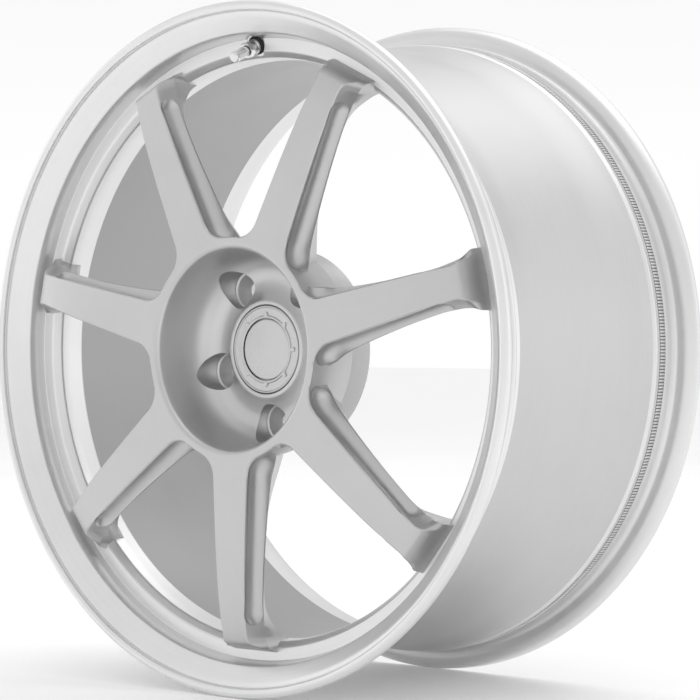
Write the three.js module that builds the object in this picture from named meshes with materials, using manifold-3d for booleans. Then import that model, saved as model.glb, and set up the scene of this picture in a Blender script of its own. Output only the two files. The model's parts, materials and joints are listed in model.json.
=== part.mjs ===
// A forged racing wheel, 19 x 8.5 inch, as a three.js scene graph in millimetres.
//
// Frame: the origin is the centre of the rim, on the wheel's axis and halfway between the two
// bead faces. +Y runs along the axis towards the vehicle, so the outer face looks along -Y,
// and +Z is up, through the tyre valve.
//
// Turned pieces are profiles of [radius, depth] points, where depth is counted along +Y from
// the crown of the front flange.

import * as THREE from "three";
import { mergeVertices } from "three/addons/utils/BufferGeometryUtils.js";
import Module from "manifold-3d";

const wasm = await Module();
wasm.setup();

// Rim
const RIM_WIDTH = 215.9;
const BEAD_RADIUS = 243.7;
const FLANGE_RADIUS = 261;
const FLANGE_ROLL = 9.5;
const FLANGE_EDGE = 3.9;
const CROWN_FROM_BEAD_FACE = 10.5;
const CROWN_TO_CENTRE = RIM_WIDTH / 2 + CROWN_FROM_BEAD_FACE;
const LIP_TO_BARREL = 48;
const BARREL_TO_REAR = 200;
const BARREL_BORE_FRONT = 220.2;
const BARREL_BORE_REAR = 232.8;
const WELL_RADIUS = 229.2;
// The flat ledge inside the lip, which the feet of the spokes stand on.
const LEDGE_OUTER_RADIUS = 235;
const LEDGE_INNER_RADIUS = 225.8;
const LEDGE_DEPTH = 26.2;
const BORE_CHAMFER_RADIUS = 220.6;
const BORE_CHAMFER_DEPTH = 32.2;
const REAR_SEAT_RADIUS = 243.2;

// Centre
const FACE_DEPTH = -3.3;
const HUB_RADIUS = 84.5;
const PAD_RADIUS = 76.4;
const PAD_DEPTH = 71.45;
const BORE_RADIUS = 33.3;
const CAP_SEAT_RADIUS = 34;
const LUG_COUNT = 5;
const LUG_CIRCLE_RADIUS = 56;
const LUG_SOCKET_RADIUS = 14.4;
const LUG_HOLE_RADIUS = 7.5;
const LUG_SEAT_DEPTH = 55.2;
const LUG_SEAT_HALF_ANGLE = Math.PI / 6;

// Spokes
const SPOKE_COUNT = 7;
const SPOKE_ROOT = 70;
const SPOKE_TIP = 228;
const HUB_FILLET = 19;
const TIP_FILLET = 14;
const TIP_FILLET_START = 213.5;
const FACE_HALF_WIDTH_AT_HUB = 17.1;
const FACE_HALF_WIDTH_AT_TIP = 12.3;
const FACE_PLATE_DEPTH = 8;
const TROUGH_RADIUS = 9.8;
// The trough's path: [along the spoke, depth, across] from the rim to the hub fillet.
const TROUGH_PATH = [
  [200.5, 7.2, 19],
  [97, 6.2, 23.4],
  [88, 6.2, 27.1],
];

// Valve, along its own axis from the outer seat: positive outwards, to the cap
const VALVE_TILT = THREE.MathUtils.degToRad(24.5);
const VALVE_SEAT_RADIUS = 230.5;
const VALVE_SEAT_DEPTH = 28;
const VALVE_HOLE_RADIUS = 5.65;
const VALVE_WALL = 9.5;
const VALVE_SPOT_FACE_RADIUS = 9.4;
const VALVE_BORE_IN_PARTS = 4.2;

const GAP = 0.3;
// Multiples of the spoke count, so that every spoke meets its neighbours' facets alike.
const RIM_SEGMENTS = 8 * SPOKE_COUNT;
const HUB_SEGMENTS = 6 * SPOKE_COUNT;
const CAP_SEGMENTS = 28;
const LUG_SEGMENTS = 16;
const VALVE_SEGMENTS = 14;
const MERGE_DISTANCE = 1e-4;

// ---------------------------------------------------------------- geometry helpers

function withoutSlivers(index) {
  const kept = [];
  for (let i = 0; i < index.length; i += 3) {
    const [a, b, c] = [index[i], index[i + 1], index[i + 2]];
    if (a !== b && b !== c && c !== a) kept.push(a, b, c);
  }
  return new Uint32Array(kept);
}

function reversed(triangles) {
  const turned = triangles.slice();
  for (let i = 0; i < turned.length; i += 3) {
    [turned[i + 1], turned[i + 2]] = [turned[i + 2], turned[i + 1]];
  }
  return turned;
}

// A closed three.js geometry as a solid with its faces pointing out.
function solid(geometry) {
  const bare = geometry.clone();
  bare.deleteAttribute("normal");
  bare.deleteAttribute("uv");
  const merged = mergeVertices(bare, MERGE_DISTANCE);
  const vertProperties = merged.attributes.position.array;
  const triVerts = withoutSlivers(merged.index.array);
  const made = new wasm.Manifold(new wasm.Mesh({ numProp: 3, vertProperties, triVerts }));
  if (made.volume() > 0) return made;
  return new wasm.Manifold(
    new wasm.Mesh({ numProp: 3, vertProperties, triVerts: reversed(triVerts) }),
  );
}

function geometryOf(made) {
  const mesh = made.getMesh();
  const geometry = new THREE.BufferGeometry();
  geometry.setAttribute("position", new THREE.BufferAttribute(mesh.vertProperties, 3));
  geometry.setIndex(new THREE.BufferAttribute(mesh.triVerts, 1));
  geometry.computeVertexNormals();
  return geometry;
}

// Points of an arc in a profile, both ends included.
function arc(centreRadius, centreDepth, radius, fromDegrees, toDegrees, steps) {
  const points = [];
  for (let i = 0; i <= steps; i += 1) {
    const angle = THREE.MathUtils.degToRad(fromDegrees + ((toDegrees - fromDegrees) * i) / steps);
    points.push([centreRadius + radius * Math.cos(angle), centreDepth + radius * Math.sin(angle)]);
  }
  return points;
}

// The geometry of a closed profile turned about the wheel's axis, or about a part's own axis.
function turned(profile, segments, depthOfOrigin) {
  const points = profile.map(([radius, depth]) => new THREE.Vector2(radius, depth - depthOfOrigin));
  points.push(points[0].clone());
  return new THREE.LatheGeometry(points, segments);
}

function wheelRing(profile, segments) {
  return solid(turned(profile, segments, CROWN_TO_CENTRE));
}

function valveRing(profile) {
  return solid(turned(profile, VALVE_SEGMENTS, 0));
}

// A plain tube between two places on a small part's axis.
function tube(innerRadius, outerRadius, from, to) {
  return valveRing([
    [innerRadius, from],
    [outerRadius, from],
    [outerRadius, to],
    [innerRadius, to],
  ]);
}

function shapeFrom(points) {
  return new THREE.Shape(points.map(([x, y]) => new THREE.Vector2(x, y)));
}

// ---------------------------------------------------------------- materials

function metal(colour, roughness) {
  return new THREE.MeshStandardMaterial({ color: colour, roughness, metalness: 1 });
}

function rubber() {
  return new THREE.MeshStandardMaterial({ color: 0x141414, roughness: 0.75, metalness: 0 });
}

const forgedAluminium = metal(0xc9cacb, 0.38);
const turnedAluminium = metal(0xd8d9da, 0.28);
const platedSteel = metal(0xdfe0e2, 0.18);
const springSteel = metal(0x9a9da1, 0.35);
const brass = metal(0xc2a35a, 0.3);
const blackRubber = rubber();

function part(name, made, material) {
  const mesh = new THREE.Mesh(geometryOf(made), material);
  mesh.name = name;
  return mesh;
}

// ---------------------------------------------------------------- rim

// Bead face, roll and edge of one flange: from the bead face outwards, away from the tyre.
// side is 1 for the rear flange and -1 for the front one; face is the depth of the bead face.
function flange(face, side) {
  const roll = arc(FLANGE_RADIUS - FLANGE_ROLL, FLANGE_ROLL, FLANGE_ROLL, -90, 0, 4);
  const edgeCentre = FLANGE_RADIUS - FLANGE_EDGE;
  const edge = arc(edgeCentre, FLANGE_ROLL + 0.5, FLANGE_EDGE, 0, 135, 3);
  return [...roll, ...edge].map(([radius, out]) => [radius, face + side * out]);
}

// The rolled outer lip, the shoulder that the spokes stand on and the front wall of the well.
function outerLipProfile() {
  const face = CROWN_FROM_BEAD_FACE;
  return [
    [WELL_RADIUS, LIP_TO_BARREL],
    [WELL_RADIUS + 0.4, 45],
    [233, 41.5],
    [243.2, 33.6],
    [244.4, 30.8],
    [243, 28],
    [BEAD_RADIUS, 14],
    [245.2, 11.6],
    [248, face],
    ...flange(face, -1),
    [254.8, 1.6],
    [252.8, 0.8],
    [249.8, 2.4],
    [238.2, 12.2],
    [236.6, 17],
    [LEDGE_OUTER_RADIUS + 0.6, LEDGE_DEPTH - 0.6],
    [LEDGE_OUTER_RADIUS, LEDGE_DEPTH],
    [LEDGE_INNER_RADIUS, LEDGE_DEPTH],
    [BORE_CHAMFER_RADIUS, BORE_CHAMFER_DEPTH],
    [BARREL_BORE_FRONT, LIP_TO_BARREL],
  ];
}

function barrelProfile() {
  return [
    [WELL_RADIUS, LIP_TO_BARREL + GAP],
    [WELL_RADIUS, 72],
    [231, 95],
    [237.5, 170],
    [242.6, 194],
    [REAR_SEAT_RADIUS, BARREL_TO_REAR - GAP],
    [BARREL_BORE_REAR, BARREL_TO_REAR - GAP],
    [229, 160],
    [224, 100],
    [BARREL_BORE_FRONT, LIP_TO_BARREL + GAP],
  ];
}

// The rear bead seat, with the grip band that stops the tyre creeping, and the rear flange.
function innerFlangeProfile() {
  const face = CROWN_FROM_BEAD_FACE + RIM_WIDTH;
  return [
    [REAR_SEAT_RADIUS, BARREL_TO_REAR],
    [244.3, 203.6],
    [243.4, 207.4],
    [243.9, 208.6],
    [243.9, 215.4],
    [243.4, 216.2],
    [244.4, 222.6],
    [245.4, 225.2],
    [248, face],
    ...flange(face, 1),
    [250.4, 236.4],
    [243.6, 231.4],
    [237.6, 227.6],
    [234.6, 221.6],
    [BARREL_BORE_REAR, BARREL_TO_REAR],
  ];
}

// ---------------------------------------------------------------- hub centre

function hubFace() {
  return [
    [HUB_RADIUS, FACE_DEPTH],
    [79.4, FACE_DEPTH],
    [77, -2.4],
    [75.6, -0.4],
    [75.2, 2.4],
  ];
}

// The dish that the wheel nuts sit in, from its rim down to the cap's seat.
function hubDish() {
  return [
    [72.8, 25],
    [69.6, 34.4],
    [61, 43.6],
    [54, 46],
    [47, 44.8],
    [41, 41.2],
    [36.4, 37],
    [34.9, 36.8],
  ];
}

function hubBore() {
  return [
    [CAP_SEAT_RADIUS, 37.7],
    [CAP_SEAT_RADIUS, 46],
    [BORE_RADIUS, 46.4],
    [BORE_RADIUS, PAD_DEPTH - 1],
    [BORE_RADIUS + 1, PAD_DEPTH],
  ];
}

function hubBack() {
  return [
    [PAD_RADIUS - 1.2, PAD_DEPTH],
    [PAD_RADIUS, PAD_DEPTH - 1.2],
    [PAD_RADIUS, 47.6],
    [79.4, 46],
    [HUB_RADIUS - 2, 24],
    [HUB_RADIUS, 10],
  ];
}

// Socket, 60 degree seat and bolt hole of one wheel bolt, along the wheel's axis.
function lugCutter() {
  const seatLength = (LUG_SOCKET_RADIUS - LUG_HOLE_RADIUS) / Math.tan(LUG_SEAT_HALF_ANGLE);
  const profile = [
    [0, 20],
    [LUG_SOCKET_RADIUS, 20],
    [LUG_SOCKET_RADIUS, LUG_SEAT_DEPTH],
    [LUG_HOLE_RADIUS, LUG_SEAT_DEPTH + seatLength],
    [LUG_HOLE_RADIUS, PAD_DEPTH + 5],
    [0, PAD_DEPTH + 5],
  ];
  return turned(profile, LUG_SEGMENTS, CROWN_TO_CENTRE);
}

function hubCentre() {
  const profile = [...hubFace(), ...hubDish(), ...hubBore(), ...hubBack()];
  let hub = wheelRing(profile, HUB_SEGMENTS);
  for (let i = 0; i < LUG_COUNT; i += 1) {
    const angle = -Math.PI / 2 + (i * 2 * Math.PI) / LUG_COUNT;
    const cutter = lugCutter();
    cutter.translate(LUG_CIRCLE_RADIUS * Math.cos(angle), 0, LUG_CIRCLE_RADIUS * Math.sin(angle));
    hub = hub.subtract(solid(cutter));
  }
  return hub;
}

// ---------------------------------------------------------------- spokes

// Half of the face's outline: from the hub fillet along the flank to the flare at the rim.
function faceFlank() {
  const hubX = Math.sqrt(
    (HUB_RADIUS + HUB_FILLET) ** 2 - (FACE_HALF_WIDTH_AT_HUB + HUB_FILLET) ** 2,
  );
  return [
    ...arc(hubX, FACE_HALF_WIDTH_AT_HUB + HUB_FILLET, HUB_FILLET, 200, 270, 4),
    ...arc(TIP_FILLET_START, FACE_HALF_WIDTH_AT_TIP + TIP_FILLET, TIP_FILLET, 270, 338, 4),
  ];
}

// Half of the outline of the wider rib behind the face, which flares smoothly to the hub.
function ribFlank() {
  const curve = new THREE.SplineCurve([
    new THREE.Vector2(86, 27.5),
    new THREE.Vector2(118, 21.2),
    new THREE.Vector2(155, 17.7),
    new THREE.Vector2(199, 16.6),
    new THREE.Vector2(212, 17.8),
    new THREE.Vector2(223, 22),
  ]);
  return curve.getPoints(7).map((point) => [point.x, point.y]);
}

// The outline of a spoke seen from the front, mirrored about its centre line.
function planform(flank) {
  const root = [SPOKE_ROOT, flank[0][1]];
  const tip = [SPOKE_TIP + 4, flank[flank.length - 1][1]];
  const upper = [root, ...flank, tip];
  const lower = upper.map(([x, y]) => [x, -y]).reverse();
  return shapeFrom([...upper, ...lower]);
}

// A planform given thickness between two depths; the spoke lies along +X.
function plate(flank, fromDepth, toDepth) {
  const geometry = new THREE.ExtrudeGeometry(planform(flank), {
    depth: toDepth - fromDepth,
    bevelEnabled: false,
  });
  geometry.rotateX(-Math.PI / 2);
  geometry.translate(0, fromDepth - CROWN_TO_CENTRE, 0);
  return solid(geometry);
}

// The spoke seen from the side: a flat face that bends down into the lip, and a lighter back.
function sideProfile() {
  const front = [
    [SPOKE_ROOT, FACE_DEPTH],
    [150, -3],
    [180, -1.8],
    [200, 0],
    [217, 3.2],
    [220, 5],
    [222, 8.6],
    [224.3, 15],
    [226.4, 21.5],
    [SPOKE_TIP, LEDGE_DEPTH],
  ];
  const back = [
    [SPOKE_TIP, 40],
    [220, 44],
    [212, 33],
    [203, 26.5],
    [190, 23.5],
    [150, 23.5],
    [112, 30],
    [SPOKE_ROOT, 46],
  ];
  return shapeFrom([...front, ...back].map(([x, depth]) => [x, depth - CROWN_TO_CENTRE]));
}

function sideBlock() {
  const halfWidth = 45;
  const geometry = new THREE.ExtrudeGeometry(sideProfile(), {
    depth: 2 * halfWidth,
    bevelEnabled: false,
  });
  geometry.translate(0, 0, -halfWidth);
  return solid(geometry);
}

// One straight run of the ball-nosed cutter between two places of the trough's path.
function cutterRun(from, to, side) {
  const [start, end] = [from, to].map(
    ([x, depth, across]) => new THREE.Vector3(x, depth - CROWN_TO_CENTRE, side * across),
  );
  const along = new THREE.Vector3().subVectors(end, start);
  const geometry = new THREE.CapsuleGeometry(TROUGH_RADIUS, along.length(), 2, 14);
  const turn = new THREE.Quaternion().setFromUnitVectors(
    new THREE.Vector3(0, 1, 0),
    along.clone().normalize(),
  );
  const middle = new THREE.Vector3().addVectors(start, end).multiplyScalar(0.5);
  geometry.applyQuaternion(turn);
  geometry.translate(middle.x, middle.y, middle.z);
  return solid(geometry);
}

// The trough milled along one flank and round into the hub fillet; side is 1 or -1.
function trough(side) {
  const [tip, bend, root] = TROUGH_PATH;
  return cutterRun(tip, bend, side).add(cutterRun(bend, root, side));
}

// The room that the lip and the barrel take, with a gap all round.
function rimClearance() {
  const profile = [
    [238.2 - GAP, 12],
    [236.6 - GAP, 17],
    [LEDGE_OUTER_RADIUS + 0.6 - GAP, LEDGE_DEPTH - 0.6 - GAP],
    [LEDGE_OUTER_RADIUS - GAP, LEDGE_DEPTH - GAP],
    [LEDGE_INNER_RADIUS - GAP, LEDGE_DEPTH - GAP],
    [BORE_CHAMFER_RADIUS - GAP, BORE_CHAMFER_DEPTH - GAP],
    [BARREL_BORE_FRONT - GAP, LIP_TO_BARREL],
    [BARREL_BORE_FRONT - GAP, 60],
    [280, 60],
    [280, 12],
  ];
  return wheelRing(profile, RIM_SEGMENTS);
}

// The room that the hub takes, with a gap all round.
function hubClearance() {
  const back = hubBack().map(([radius, depth]) => [radius + GAP, depth]);
  const profile = [
    [20, FACE_DEPTH - 5],
    [20, PAD_DEPTH + 5],
    ...back,
    [HUB_RADIUS + GAP, FACE_DEPTH - 5],
  ];
  return wheelRing(profile, HUB_SEGMENTS);
}

function spoke() {
  const facePlate = plate(faceFlank(), FACE_DEPTH - 3, FACE_PLATE_DEPTH);
  const rib = plate(ribFlank(), FACE_PLATE_DEPTH - 1, 50);
  return facePlate
    .add(rib)
    .intersect(sideBlock())
    .subtract(trough(1))
    .subtract(trough(-1))
    .subtract(rimClearance())
    .subtract(hubClearance());
}

// ---------------------------------------------------------------- centre cap

function capBodyProfile() {
  return [
    [0, 40.2],
    [23.8, 40.2],
    [23.8, 37.4],
    [24.4, 37],
    [32.9, 37.2],
    [33.6, 38],
    [33.6, 45.4],
    [32.8, 45.9],
    [32.8, 56],
    [31.9, 57],
    [30.6, 57],
    [30.6, 44],
    [0, 44],
  ];
}

function medallionProfile() {
  return [
    [0, 37],
    [22.6, 37.7],
    [23.4, 38.4],
    [23.4, 39.8],
    [0, 39.8],
  ];
}

function capSpringProfile() {
  return arc(29.3, 53, 0.9, 0, 300, 5);
}

// ---------------------------------------------------------------- valve

function stemProfile() {
  const head = -VALVE_WALL - 2 - GAP;
  return [
    [2.3, head - 2.5],
    [7.6, head - 2.5],
    [8.4, head - 1.7],
    [8.4, head],
    [3.9, head],
    [3.9, 14.4],
    [3.4, 15],
    [3.4, 25.5],
    [2.3, 25.5],
  ];
}

function grommetProfile() {
  const seat = -VALVE_WALL - GAP;
  return [
    [VALVE_BORE_IN_PARTS, seat - 1.7],
    [8.6, seat - 1.7],
    [8.6, seat],
    [5.35, seat],
    [5.35, -0.6],
    [VALVE_BORE_IN_PARTS, -0.6],
  ];
}

function coreBodyProfile() {
  return [
    [0.9, 8],
    [2, 8],
    [2, 24.4],
    [0.9, 24.4],
    [0.9, 20.4],
    [1.6, 20],
    [1.6, 9.4],
    [0.9, 9],
  ];
}

function corePinProfile() {
  return [
    [0, 6.2],
    [1.7, 6.2],
    [1.7, 7.5],
    [0.6, 7.7],
    [0.6, 18.9],
    [1.3, 18.9],
    [1.3, 19.7],
    [0.6, 19.7],
    [0.6, 25],
    [0, 25],
  ];
}

function valveCapProfile() {
  return [
    [0, 29],
    [3.6, 29],
    [4.4, 28.2],
    [4.4, 25.4],
    [4.1, 25],
    [4.1, 15.8],
    [3.7, 15.4],
    [3.7, 27.3],
    [0, 27.3],
  ];
}

function hexNut() {
  const hexagon = new THREE.Shape();
  const corners = 6;
  const cornerRadius = 6.35;
  for (let i = 0; i < corners; i += 1) {
    const angle = (i * 2 * Math.PI) / corners;
    const place = [cornerRadius * Math.cos(angle), cornerRadius * Math.sin(angle)];
    if (i === 0) hexagon.moveTo(...place);
    else hexagon.lineTo(...place);
  }
  const bore = new THREE.Path();
  bore.absarc(0, 0, VALVE_BORE_IN_PARTS, 0, 2 * Math.PI, true);
  hexagon.holes.push(bore);
  const geometry = new THREE.ExtrudeGeometry(hexagon, {
    depth: 4.7,
    bevelEnabled: false,
    curveSegments: 10,
  });
  geometry.rotateX(-Math.PI / 2);
  geometry.translate(0, 9.3, 0);
  return solid(geometry);
}

class Helix extends THREE.Curve {
  getPoint(t) {
    const turns = 5;
    const radius = 1.1;
    const angle = t * turns * 2 * Math.PI;
    return new THREE.Vector3(radius * Math.cos(angle), 9.9 + t * 7, radius * Math.sin(angle));
  }
}

function coreSpring() {
  const section = new THREE.Shape();
  section.absarc(0, 0, 0.2, 0, 2 * Math.PI);
  const geometry = new THREE.ExtrudeGeometry(section, {
    steps: 50,
    curveSegments: 2,
    extrudePath: new Helix(),
  });
  return solid(geometry);
}

function placeOnValveAxis(object) {
  object.rotation.x = Math.PI + VALVE_TILT;
  object.position.set(0, VALVE_SEAT_DEPTH - CROWN_TO_CENTRE, VALVE_SEAT_RADIUS);
  object.updateMatrix();
}

// The stepped hole through the lip: outer spot face, hole and inner spot face.
function valveHoleCutter() {
  const geometry = turned(
    [
      [0, 20],
      [VALVE_SPOT_FACE_RADIUS, 20],
      [VALVE_SPOT_FACE_RADIUS, 0],
      [VALVE_HOLE_RADIUS, 0],
      [VALVE_HOLE_RADIUS, -VALVE_WALL],
      [VALVE_SPOT_FACE_RADIUS, -VALVE_WALL],
      [VALVE_SPOT_FACE_RADIUS, -24],
      [0, -24],
    ],
    VALVE_SEGMENTS,
    0,
  );
  const place = new THREE.Object3D();
  placeOnValveAxis(place);
  return solid(geometry.applyMatrix4(place.matrix));
}

function valveGroup() {
  const valve = new THREE.Group();
  valve.add(
    part("valve_stem", valveRing(stemProfile()), turnedAluminium),
    part("valve_grommet", valveRing(grommetProfile()), blackRubber),
    part("valve_outer_seal", tube(VALVE_BORE_IN_PARTS, 7.3, GAP, 2.1), blackRubber),
    part("valve_collar", tube(VALVE_BORE_IN_PARTS, 5.7, 2.4, 9), turnedAluminium),
    part("valve_nut", hexNut(), platedSteel),
    part("valve_core_body", valveRing(coreBodyProfile()), brass),
    part("valve_core_pin", valveRing(corePinProfile()), brass),
    part("valve_core_spring", coreSpring(), springSteel),
    part("valve_cap", valveRing(valveCapProfile()), platedSteel),
    part("valve_cap_seal", tube(1.2, 3.3, 25.9, 27), blackRubber),
  );
  placeOnValveAxis(valve);
  return valve;
}

// ---------------------------------------------------------------- the wheel

function spokes() {
  const group = new THREE.Group();
  const made = spoke();
  for (let i = 0; i < SPOKE_COUNT; i += 1) {
    const mesh = part(`spoke_${i + 1}`, made, forgedAluminium);
    mesh.rotation.y = Math.PI / 2 + (i * 2 * Math.PI) / SPOKE_COUNT;
    group.add(mesh);
  }
  return group;
}

function rim() {
  const group = new THREE.Group();
  const lip = wheelRing(outerLipProfile(), RIM_SEGMENTS).subtract(valveHoleCutter());
  group.add(
    part("outer_lip", lip, forgedAluminium),
    part("barrel", wheelRing(barrelProfile(), RIM_SEGMENTS), forgedAluminium),
    part("inner_flange", wheelRing(innerFlangeProfile(), RIM_SEGMENTS), forgedAluminium),
    part("hub_centre", hubCentre(), forgedAluminium),
  );
  return group;
}

function centreCap() {
  const group = new THREE.Group();
  group.add(
    part("centre_cap_body", wheelRing(capBodyProfile(), CAP_SEGMENTS), turnedAluminium),
    part("centre_cap_medallion", wheelRing(medallionProfile(), CAP_SEGMENTS), turnedAluminium),
    part("centre_cap_spring_ring", wheelRing(capSpringProfile(), CAP_SEGMENTS), springSteel),
  );
  return group;
}

const wheel = new THREE.Group();
wheel.add(rim(), spokes(), centreCap(), valveGroup());

export default wheel;
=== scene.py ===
"""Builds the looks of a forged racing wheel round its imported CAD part.

The wheel's axis lies along Y and its outer face looks along -Y. Sizes are in millimetres:
a turned outline is a list of (radius, depth) corners, where depth is counted along +Y from
the crown of the front flange. Meshes are made in metres in the part's own frame.
"""

import json
import logging
import math
from collections.abc import Callable, Sequence
from dataclasses import dataclass
from enum import Enum

import bmesh
import bpy
from mathutils import Matrix, Vector


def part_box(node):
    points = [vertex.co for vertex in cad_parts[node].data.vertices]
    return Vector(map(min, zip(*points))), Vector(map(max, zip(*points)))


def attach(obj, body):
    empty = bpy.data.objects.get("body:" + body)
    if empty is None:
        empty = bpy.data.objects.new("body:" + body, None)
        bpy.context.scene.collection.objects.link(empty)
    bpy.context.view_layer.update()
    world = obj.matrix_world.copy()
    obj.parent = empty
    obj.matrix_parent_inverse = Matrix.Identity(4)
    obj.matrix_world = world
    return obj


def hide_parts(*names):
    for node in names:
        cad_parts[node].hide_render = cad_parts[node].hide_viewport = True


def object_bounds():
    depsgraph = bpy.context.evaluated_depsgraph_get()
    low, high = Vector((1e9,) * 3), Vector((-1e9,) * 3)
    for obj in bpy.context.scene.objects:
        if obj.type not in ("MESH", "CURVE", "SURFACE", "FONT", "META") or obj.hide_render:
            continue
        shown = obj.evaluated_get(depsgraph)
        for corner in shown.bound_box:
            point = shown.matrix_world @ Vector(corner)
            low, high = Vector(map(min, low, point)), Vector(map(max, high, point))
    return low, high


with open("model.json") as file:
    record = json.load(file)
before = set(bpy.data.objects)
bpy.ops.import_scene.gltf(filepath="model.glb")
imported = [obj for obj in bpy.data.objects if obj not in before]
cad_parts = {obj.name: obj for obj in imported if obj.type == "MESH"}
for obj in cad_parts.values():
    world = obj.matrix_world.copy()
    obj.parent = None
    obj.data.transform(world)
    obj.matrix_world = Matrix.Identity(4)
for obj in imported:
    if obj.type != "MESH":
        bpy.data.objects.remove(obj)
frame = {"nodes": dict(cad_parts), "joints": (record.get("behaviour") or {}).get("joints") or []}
CAD_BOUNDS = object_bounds()

log = logging.getLogger("forged_wheel")

Point = tuple[float, float, float]
Outline = list[tuple[float, float]]
Corner = tuple[float, float, float]
Colour = tuple[float, float, float]
Knots = tuple[tuple[float, float], ...]

MM = 0.001
RIM_WIDTH = 215.9
CROWN_FROM_BEAD_FACE = 10.5
CROWN_TO_CENTRE = RIM_WIDTH / 2 + CROWN_FROM_BEAD_FACE
LIP_TO_BARREL = 54.4
BARREL_TO_REAR = 200.0
FACE_DEPTH = -3.3
FLANGE_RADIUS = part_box("outer_lip")[1].x / MM
PAD_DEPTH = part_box("hub_centre")[1].y / MM + CROWN_TO_CENTRE
SPOKE_COUNT = 7
LUG_COUNT = 5
SPOKE_ROOT = 62.0
SPOKE_TIP = 231.0


# ---------------------------------------------------------------- outlines


def rounded(corners: Sequence[Corner], steps: int = 5) -> Outline:
    """Rounds the corners of an open outline.

    Args:
        corners: (radius, depth, size of the rounding) of each corner, in order.
        steps: number of short edges that replace a corner.

    Returns:
        The outline's points, with every sized corner replaced by a smooth curve.
    """
    points: Outline = []
    last = len(corners) - 1
    for i, (x, y, size) in enumerate(corners):
        if size <= 0 or i in (0, last):
            points.append((x, y))
            continue
        here = Vector((x, y))
        before = Vector(corners[i - 1][:2]) - here
        after = Vector(corners[i + 1][:2]) - here
        reach = min(size, 0.48 * before.length, 0.48 * after.length)
        start = here + before.normalized() * reach
        end = here + after.normalized() * reach
        for step in range(steps + 1):
            t = step / steps
            place = start * (1 - t) ** 2 + here * 2 * t * (1 - t) + end * t**2
            points.append((place.x, place.y))
    return points


def arc(centre: tuple[float, float], radius: float, turn: tuple[float, float], steps: int) -> Outline:
    """Makes the points of an arc, both ends included.

    Args:
        centre: the arc's centre.
        radius: its radius.
        turn: the angles of its first and last point, in degrees.
        steps: number of short edges.

    Returns:
        The arc's points in order.
    """
    angles = [math.radians(turn[0] + (turn[1] - turn[0]) * i / steps) for i in range(steps + 1)]
    return [(centre[0] + radius * math.cos(a), centre[1] + radius * math.sin(a)) for a in angles]


def eased(knots: Sequence[tuple[float, float]], x: float) -> float:
    """Reads a smooth curve through knots.

    Args:
        knots: (x, value) pairs in rising order of x.
        x: where to read the curve.

    Returns:
        The value at x, on a cubic that takes its slope at each knot from the knot's neighbours.
    """
    if x <= knots[0][0]:
        return knots[0][1]
    if x >= knots[-1][0]:
        return knots[-1][1]
    i = max(k for k in range(len(knots) - 1) if knots[k][0] <= x)

    def slope(k: int) -> float:
        """Slope at knot k."""
        low, high = max(k - 1, 0), min(k + 1, len(knots) - 1)
        return (knots[high][1] - knots[low][1]) / (knots[high][0] - knots[low][0])

    (x0, y0), (x1, y1) = knots[i], knots[i + 1]
    span = x1 - x0
    t = (x - x0) / span
    rise = (2 * t**3 - 3 * t**2 + 1) * y0 + (3 * t**2 - 2 * t**3) * y1
    return rise + span * ((t**3 - 2 * t**2 + t) * slope(i) + (t**3 - t**2) * slope(i + 1))


def between(start: tuple[float, float], end: tuple[float, float], steps: int) -> Outline:
    """Evenly spaced points from start to end, both included."""
    return [
        (start[0] + (end[0] - start[0]) * i / steps, start[1] + (end[1] - start[1]) * i / steps)
        for i in range(steps + 1)
    ]


# ---------------------------------------------------------------- meshes


def new_object(name: str, mesh_data: bmesh.types.BMesh) -> bpy.types.Object:
    """Turns mesh data into an object of the scene.

    Args:
        name: the piece's name.
        mesh_data: its mesh, which is freed here.

    Returns:
        The new object, with its faces pointing out.
    """
    bmesh.ops.remove_doubles(mesh_data, verts=mesh_data.verts, dist=1e-7)
    bmesh.ops.recalc_face_normals(mesh_data, faces=mesh_data.faces)
    mesh = bpy.data.meshes.new(name)
    mesh_data.to_mesh(mesh)
    mesh_data.free()
    piece = bpy.data.objects.new(name, mesh)
    bpy.context.scene.collection.objects.link(piece)
    return piece


def wheel_point(x: float, depth: float, across: float) -> Point:
    """Place in metres of a point x mm along a spoke, at a depth, and across mm to its side."""
    return (x * MM, (depth - CROWN_TO_CENTRE) * MM, across * MM)


def own_axis_point(x: float, along: float, across: float) -> Point:
    """Place in metres of a point of a small turned part whose own axis is Z."""
    return (x * MM, across * MM, along * MM)


def turned(
    name: str,
    outline: Outline,
    segments: int,
    place: Callable[[float, float, float], Point] = wheel_point,
    ripple: Callable[[int, int], float] | None = None,
) -> bpy.types.Object:
    """Turns a closed outline about an axis.

    Args:
        name: the piece's name.
        outline: (radius, depth) points; the last one joins the first.
        segments: number of steps round the axis.
        place: turns (x, depth, z) into a place in metres.
        ripple: radius to add, given the number of the step and of the outline's point.

    Returns:
        The solid of revolution.
    """
    mesh_data = bmesh.new()
    rings = []
    for i in range(segments):
        angle = 2 * math.pi * i / segments
        ring = []
        for k, (radius, depth) in enumerate(outline):
            out = radius + (ripple(i, k) if ripple else 0.0)
            ring.append(mesh_data.verts.new(place(out * math.cos(angle), depth, out * math.sin(angle))))
        rings.append(ring)
    count = len(outline)
    for i, ring in enumerate(rings):
        following = rings[(i + 1) % segments]
        for k in range(count):
            after = (k + 1) % count
            if max(outline[k][0], outline[after][0]) > 0:
                mesh_data.faces.new((ring[k], ring[after], following[after], following[k]))
    return new_object(name, mesh_data)


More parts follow.
